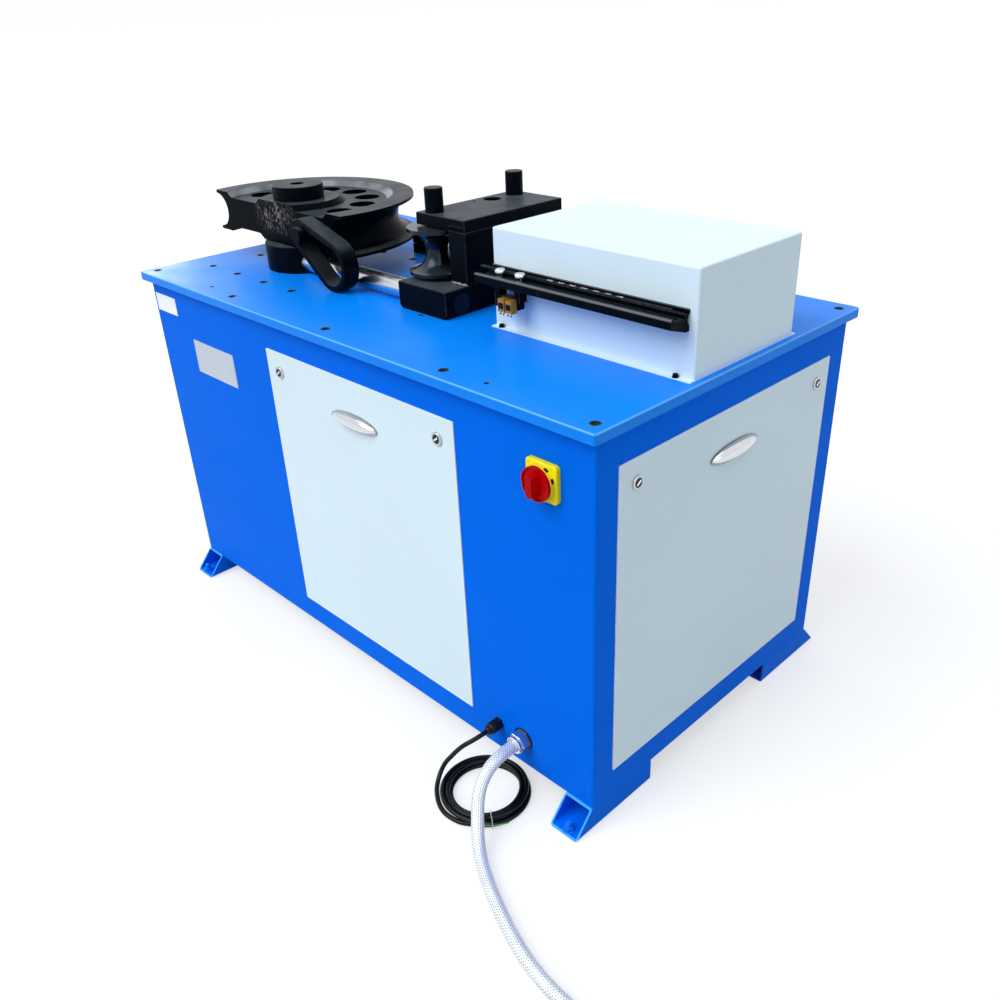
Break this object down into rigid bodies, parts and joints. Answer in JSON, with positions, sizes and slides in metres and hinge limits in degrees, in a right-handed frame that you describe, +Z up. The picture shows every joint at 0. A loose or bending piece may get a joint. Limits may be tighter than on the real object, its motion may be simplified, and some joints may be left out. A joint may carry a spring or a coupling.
{
  "type": "hydraulic pipe bender",
  "caption": "Floor-standing pipe bender: a grooved half-round die on a driven spindle, a hinged tube strap, and a roller carriage on guide rods pushed by a covered hydraulic cylinder.",
  "frame": {"origin": "on the floor under the middle of the table", "axes": "+X right along the long front, +Y to the back, +Z up"},
  "size_m": [1.9533, 1.4864, 1.105],
  "materials": {
    "blue_paint": "satin powder coat",
    "pale_paint": "satin powder coat",
    "black_steel": "black oxide",
    "bright_steel": "machined",
    "hard_chrome": "ground and chromed",
    "black_extrusion": "black anodised",
    "zinc": "zinc plated",
    "grey_cast": "painted casting",
    "grey_aluminium": "cast",
    "grey_paint": "painted sheet",
    "yellow_plastic": "moulded",
    "red_plastic": "moulded",
    "brown_plastic": "moulded",
    "black_plastic": "moulded",
    "black_rubber": "sheath",
    "steel_braid": "steel braid over rubber"
  },
  "bodies": {
    "frame": {"cabinet_shell": "blue_paint", "table_plate": "blue_paint", "foot_front_left": "blue_paint", "foot_front_right": "blue_paint", "foot_back_left": "blue_paint", "foot_back_right": "blue_paint", "switch_plate": "yellow_plastic", "isolator": "black_plastic", "control_box": "grey_paint", "spindle_housing": "black_steel", "drive_gearbox": "grey_cast", "drive_motor": "grey_aluminium", "rod_front": "hard_chrome", "rod_back": "hard_chrome", "rod_block": "black_steel", "cylinder_barrel": "bright_steel", "cylinder_cover": "pale_paint", "scale_rail": "black_extrusion", "oil_tank": "grey_paint", "pump_motor": "grey_aluminium", "valve_block": "bright_steel", "cable_gland": "black_plastic", "hose_fitting": "zinc", "mains_cable": "black_rubber", "mains_coil": "black_rubber", "hose": "steel_braid", "hose_coil": "steel_braid", "hose_connector": "zinc"},
    "die": {"spindle_shaft": "bright_steel", "bending_die": "black_steel", "spindle_cap": "black_steel", "strap_pin": "black_steel"},
    "strap": {"hold_strap": "black_steel"},
    "carriage": {"carriage_base": "black_steel", "carriage_column": "black_steel", "carriage_plate": "black_steel", "piston": "bright_steel", "piston_rod": "hard_chrome"},
    "front_roller": {"roller_front": "black_steel"},
    "back_roller": {"roller_back": "black_steel"},
    "front_roller_pin": {"roller_pin_front": "black_steel"},
    "back_roller_pin": {"roller_pin_back": "black_steel"},
    "front_door_panel": {"front_door": "pale_paint", "front_pull": "hard_chrome"},
    "front_left_lock": {"front_lock_left": "hard_chrome"},
    "front_right_lock": {"front_lock_right": "hard_chrome"},
    "end_door_panel": {"end_door": "pale_paint", "end_pull": "hard_chrome"},
    "end_left_lock": {"end_lock_left": "hard_chrome"},
    "end_right_lock": {"end_lock_right": "hard_chrome"},
    "main_knob": {"switch_knob": "red_plastic"},
    "left_holder": {"switch_holder_left": "black_steel", "limit_switch_left": "brown_plastic"},
    "right_holder": {"switch_holder_right": "black_steel", "limit_switch_right": "brown_plastic"},
    "left_plunger": {"switch_plunger_left": "bright_steel"},
    "right_plunger": {"switch_plunger_right": "bright_steel"},
    "left_thumb_screw": {"thumb_screw_left": "zinc"},
    "right_thumb_screw": {"thumb_screw_right": "zinc"}
  },
  "joints": [
    {"name": "spindle_turn", "type": "hinge", "parent": "frame", "child": "die", "pos_m": [-0.469, -0.104, 0.865], "axis": [0, 0, 1], "range_deg": [-180, 0]},
    {"name": "strap_swing", "type": "hinge", "parent": "die", "child": "strap", "pos_m": [-0.3115, -0.1965, 0.9787], "axis": [0, -1, 0], "range_deg": [0, 90]},
    {"name": "carriage_slide", "type": "slide", "parent": "frame", "child": "carriage", "axis": [1, 0, 0], "range_m": [-0.14, 0.045]},
    {"name": "front_roller_spin", "type": "hinge", "parent": "carriage", "child": "front_roller", "pos_m": [0.04, -0.104, 0.9787], "axis": [0, 0, 1], "continuous": true},
    {"name": "back_roller_spin", "type": "hinge", "parent": "carriage", "child": "back_roller", "pos_m": [0.04, 0.131, 0.9787], "axis": [0, 0, 1], "continuous": true},
    {"name": "front_pin_lift", "type": "slide", "parent": "carriage", "child": "front_roller_pin", "axis": [0, 0, 1], "range_m": [0, 0.1]},
    {"name": "back_pin_lift", "type": "slide", "parent": "carriage", "child": "back_roller_pin", "axis": [0, 0, 1], "range_m": [0, 0.1]},
    {"name": "front_door_off", "type": "slide", "parent": "frame", "child": "front_door_panel", "axis": [0, -1, 0], "range_m": [0, 0.15]},
    {"name": "front_left_lock_turn", "type": "hinge", "parent": "front_door_panel", "child": "front_left_lock", "pos_m": [-0.173, -0.397, 0.734], "axis": [0, -1, 0], "range_deg": [0, 90]},
    {"name": "front_right_lock_turn", "type": "hinge", "parent": "front_door_panel", "child": "front_right_lock", "pos_m": [0.354, -0.397, 0.734], "axis": [0, 1, 0], "range_deg": [0, 90]},
    {"name": "end_door_off", "type": "slide", "parent": "frame", "child": "end_door_panel", "axis": [1, 0, 0], "range_m": [0, 0.15]},
    {"name": "end_left_lock_turn", "type": "hinge", "parent": "end_door_panel", "child": "end_left_lock", "pos_m": [0.736, -0.294, 0.734], "axis": [1, 0, 0], "range_deg": [0, 90]},
    {"name": "end_right_lock_turn", "type": "hinge", "parent": "end_door_panel", "child": "end_right_lock", "pos_m": [0.736, 0.289, 0.734], "axis": [-1, 0, 0], "range_deg": [0, 90]},
    {"name": "main_switch_turn", "type": "hinge", "parent": "frame", "child": "main_knob", "pos_m": [0.625, -0.417, 0.74], "axis": [0, -1, 0], "range_deg": [0, 90]},
    {"name": "left_holder_slide", "type": "slide", "parent": "frame", "child": "left_holder", "axis": [1, 0, 0], "range_m": [-0.025, 0]},
    {"name": "right_holder_slide", "type": "slide", "parent": "frame", "child": "right_holder", "axis": [1, 0, 0], "range_m": [0, 0.33]},
    {"name": "left_plunger_press", "type": "slide", "parent": "left_holder", "child": "left_plunger", "axis": [1, 0, 0], "range_m": [0, 0.0015], "stiffness_N_per_m": 300, "springref_m": -0.001},
    {"name": "right_plunger_press", "type": "slide", "parent": "right_holder", "child": "right_plunger", "axis": [1, 0, 0], "range_m": [0, 0.0015], "stiffness_N_per_m": 300, "springref_m": -0.001},
    {"name": "left_thumb_screw_turn", "type": "hinge", "parent": "left_holder", "child": "left_thumb_screw", "pos_m": [0.294, -0.165, 0.985], "axis": [0, 0, 1], "range_deg": [0, 360]},
    {"name": "right_thumb_screw_turn", "type": "hinge", "parent": "right_holder", "child": "right_thumb_screw", "pos_m": [0.3475, -0.165, 0.985], "axis": [0, 0, 1], "range_deg": [0, 360]}
  ]
}
